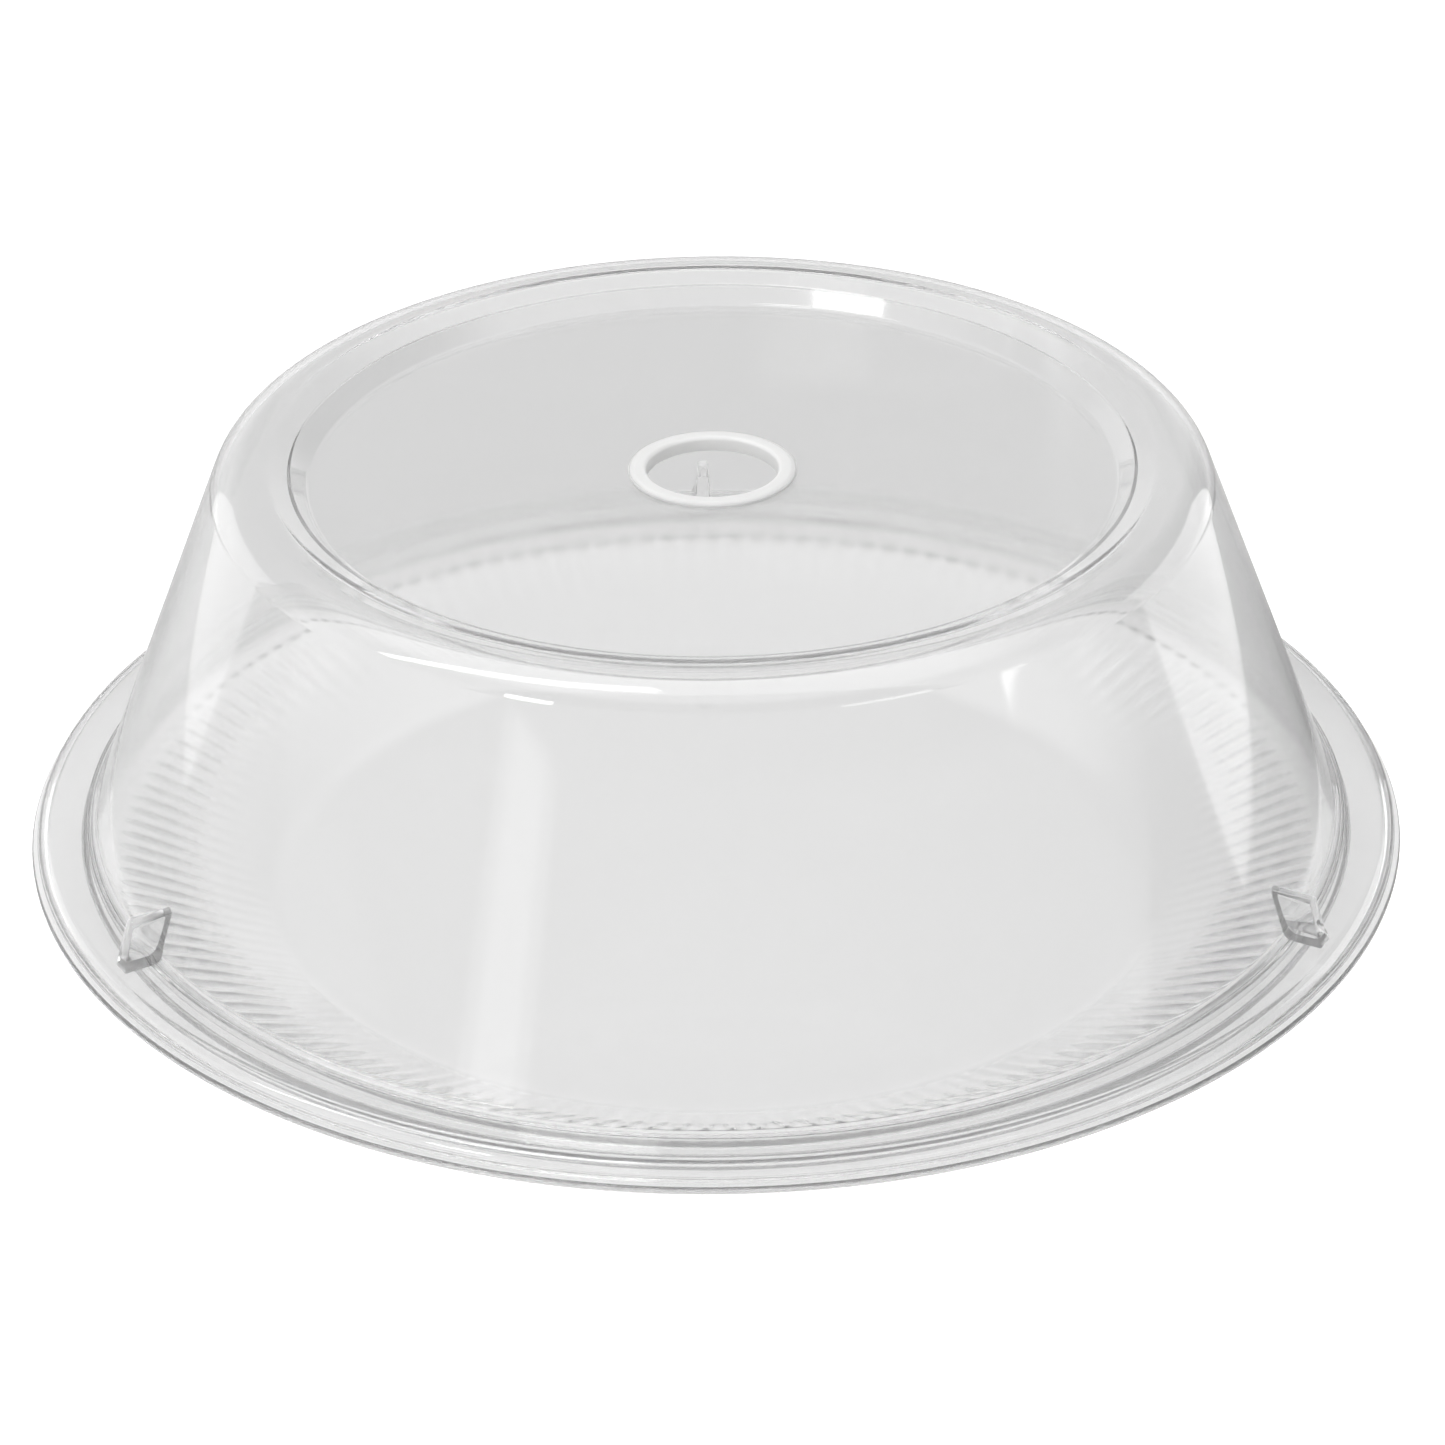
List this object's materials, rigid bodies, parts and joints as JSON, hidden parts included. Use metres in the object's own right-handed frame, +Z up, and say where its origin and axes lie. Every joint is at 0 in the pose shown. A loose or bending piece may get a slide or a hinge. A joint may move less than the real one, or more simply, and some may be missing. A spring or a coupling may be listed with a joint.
{
  "type": "humidity dome tray",
  "caption": "Clear round dome with a wide brim, recessed top and central vent ring, lifting off a shallow tray with a ribbed flank.",
  "frame": {"origin": "centre of the flat base that the tray stands on", "axes": "+Z up along the axis of the dome and the tray, +X to the viewer's right, -Y towards the viewer"},
  "size_m": [0.3026, 0.3026, 0.1064],
  "materials": {
    "clear_plastic": "polished, water-clear moulding",
    "milky_plastic": "satin, milky white moulding"
  },
  "bodies": {
    "tray": {"tray": "clear_plastic"},
    "dome": {"dome_cover": "clear_plastic", "vent_ring": "milky_plastic"}
  },
  "joints": [
    {"name": "dome_lift", "type": "slide", "parent": "tray", "child": "dome", "axis": [0, 0, 1], "range_m": [0, 0.12]}
  ]
}
